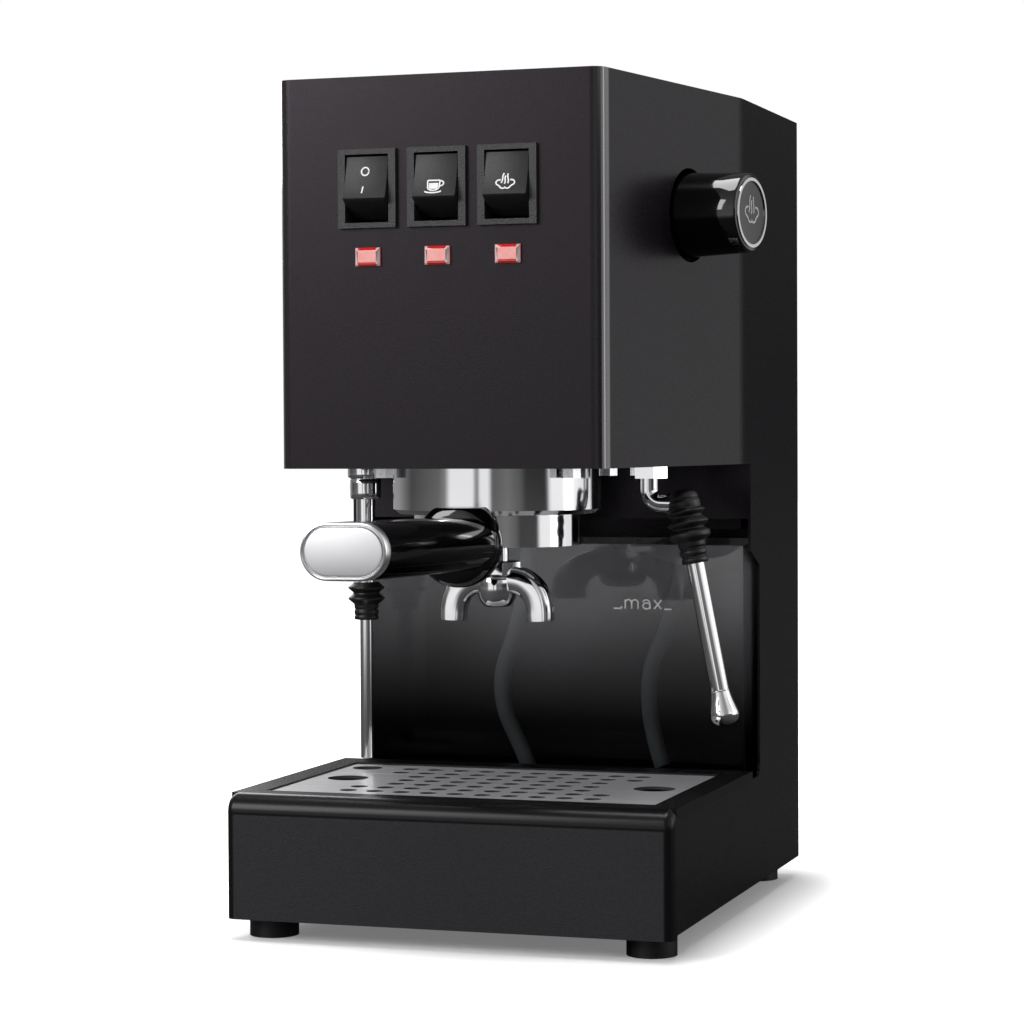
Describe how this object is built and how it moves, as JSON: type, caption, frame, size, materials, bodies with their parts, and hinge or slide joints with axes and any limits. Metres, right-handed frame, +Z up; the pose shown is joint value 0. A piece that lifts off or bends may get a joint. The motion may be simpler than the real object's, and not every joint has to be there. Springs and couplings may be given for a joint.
{
  "type": "espresso machine",
  "caption": "Compact single-boiler espresso machine with a folded black sheet body, portafilter in a brew group, steam wand, rocker switches, drip tray and smoked water tank.",
  "frame": {"origin": "centre of the base footprint on the floor, level with the undersides of the feet", "axes": "+X to the machine's right, +Y to its back, +Z up; the switches face -Y"},
  "size_m": [0.2246, 0.3706, 0.378],
  "materials": {
    "satin_black_paint": "satin powder coat",
    "black_cover_plastic": "fine grained moulding",
    "black_tray_plastic": "grained front, smooth rim",
    "polished_steel": "polished stainless sheet",
    "smoked_clear": "smoked clear moulding",
    "silicone": "translucent silicone",
    "black_rubber": "matt rubber",
    "chrome_plate": "bright chrome on brass",
    "steel_fastener": "zinc plated",
    "brass_parts": "machined",
    "cast_aluminium": "as cast",
    "copper_toned_pipe": "drawn tube",
    "white_tube": "clear grade tubing",
    "moulded_black": "moulded",
    "switch_black": "textured moulding",
    "gloss_black": "gloss moulding",
    "lamp_red": "faceted lens"
  },
  "bodies": {
    "machine": {"body_shell": "satin_black_paint", "rear_panel": "satin_black_paint", "head_floor": "satin_black_paint", "inner_bulkhead": "satin_black_paint", "base_pan": "satin_black_paint", "pump_bracket": "satin_black_paint", "top_cover": "black_cover_plastic", "filler_funnel": "black_cover_plastic", "shower_screen": "polished_steel", "suction_hose": "silicone", "return_hose": "silicone", "feet": "black_rubber", "group_gasket": "black_rubber", "boiler_seal": "black_rubber", "discharge_bellows": "black_rubber", "hose_grommets": "black_rubber", "pump_mounts": "black_rubber", "group_head": "chrome_plate", "discharge_nut": "chrome_plate", "discharge_pipe_upper": "chrome_plate", "discharge_pipe_lower": "chrome_plate", "wand_nut": "chrome_plate", "group_bolts": "steel_fastener", "case_screws": "steel_fastener", "shower_screw": "steel_fastener", "dispersion_plate": "brass_parts", "solenoid_valve": "brass_parts", "overpressure_valve": "brass_parts", "steam_valve_body": "brass_parts", "boiler_body": "cast_aluminium", "heating_elements": "cast_aluminium", "steam_outlet_pipe": "copper_toned_pipe", "pressure_tube": "white_tube", "return_tube": "white_tube", "solenoid_coil": "moulded_black", "pump_body": "moulded_black", "thermostats": "moulded_black", "power_inlet": "moulded_black", "suction_filter": "moulded_black", "switch_frames": "switch_black", "indicator_lamps": "lamp_red"},
    "rocker_power": {"rocker_power": "switch_black"},
    "rocker_brew": {"rocker_brew": "switch_black"},
    "rocker_steam": {"rocker_steam": "switch_black"},
    "steam_knob": {"steam_knob": "gloss_black", "knob_ring": "chrome_plate", "steam_spindle": "brass_parts"},
    "portafilter": {"portafilter_body": "chrome_plate", "portafilter_handle": "gloss_black", "handle_end_cap": "chrome_plate", "filter_basket": "polished_steel", "basket_spring": "polished_steel", "double_spout": "chrome_plate"},
    "steam_wand": {"steam_wand": "chrome_plate", "wand_grip": "black_rubber", "wand_tip": "chrome_plate"},
    "drip_tray": {"drip_tray": "black_tray_plastic"},
    "drip_grate": {"drip_grate": "polished_steel"},
    "water_tank": {"water_tank": "smoked_clear"},
    "filler_lid": {"filler_lid": "black_cover_plastic"}
  },
  "joints": [
    {"name": "rocker_power_tilt", "type": "hinge", "parent": "machine", "child": "rocker_power", "pos_m": [-0.0318, -0.116, 0.3296], "axis": [1, 0, 0], "range_deg": [0, 30]},
    {"name": "rocker_brew_tilt", "type": "hinge", "parent": "machine", "child": "rocker_brew", "pos_m": [0, -0.116, 0.3296], "axis": [1, 0, 0], "range_deg": [0, 30]},
    {"name": "rocker_steam_tilt", "type": "hinge", "parent": "machine", "child": "rocker_steam", "pos_m": [0.0318, -0.116, 0.3296], "axis": [1, 0, 0], "range_deg": [0, 30]},
    {"name": "steam_knob_turn", "type": "hinge", "parent": "machine", "child": "steam_knob", "pos_m": [0.08939, -0.0453, 0.3205], "axis": [0.9818, -0.19, 0], "range_deg": [0, 450]},
    {"name": "portafilter_turn", "type": "hinge", "parent": "machine", "child": "portafilter", "pos_m": [0, -0.052, 0.1875], "axis": [0, 0, 1], "range_deg": [-50, 4]},
    {"name": "wand_swing", "type": "hinge", "parent": "machine", "child": "steam_wand", "pos_m": [0.06868, -0.04129, 0.205], "axis": [0, 0, 1], "range_deg": [-120, 60]},
    {"name": "tray_slide", "type": "slide", "parent": "machine", "child": "drip_tray", "axis": [0, -1, 0], "range_m": [0, 0.14]},
    {"name": "grate_lift", "type": "slide", "parent": "drip_tray", "child": "drip_grate", "axis": [0, 0, 1], "range_m": [0, 0.03]},
    {"name": "tank_draw", "type": "slide", "parent": "machine", "child": "water_tank", "axis": [0, -1, 0], "range_m": [0, 0.028]},
    {"name": "lid_open", "type": "hinge", "parent": "machine", "child": "filler_lid", "pos_m": [0.045, 0.1031, 0.375], "axis": [-1, 0, 0], "range_deg": [0, 95]}
  ],
  "couplings": [
    {"joint": "tank_draw", "follows": "tray_slide", "ratio": 0.2}
  ]
}
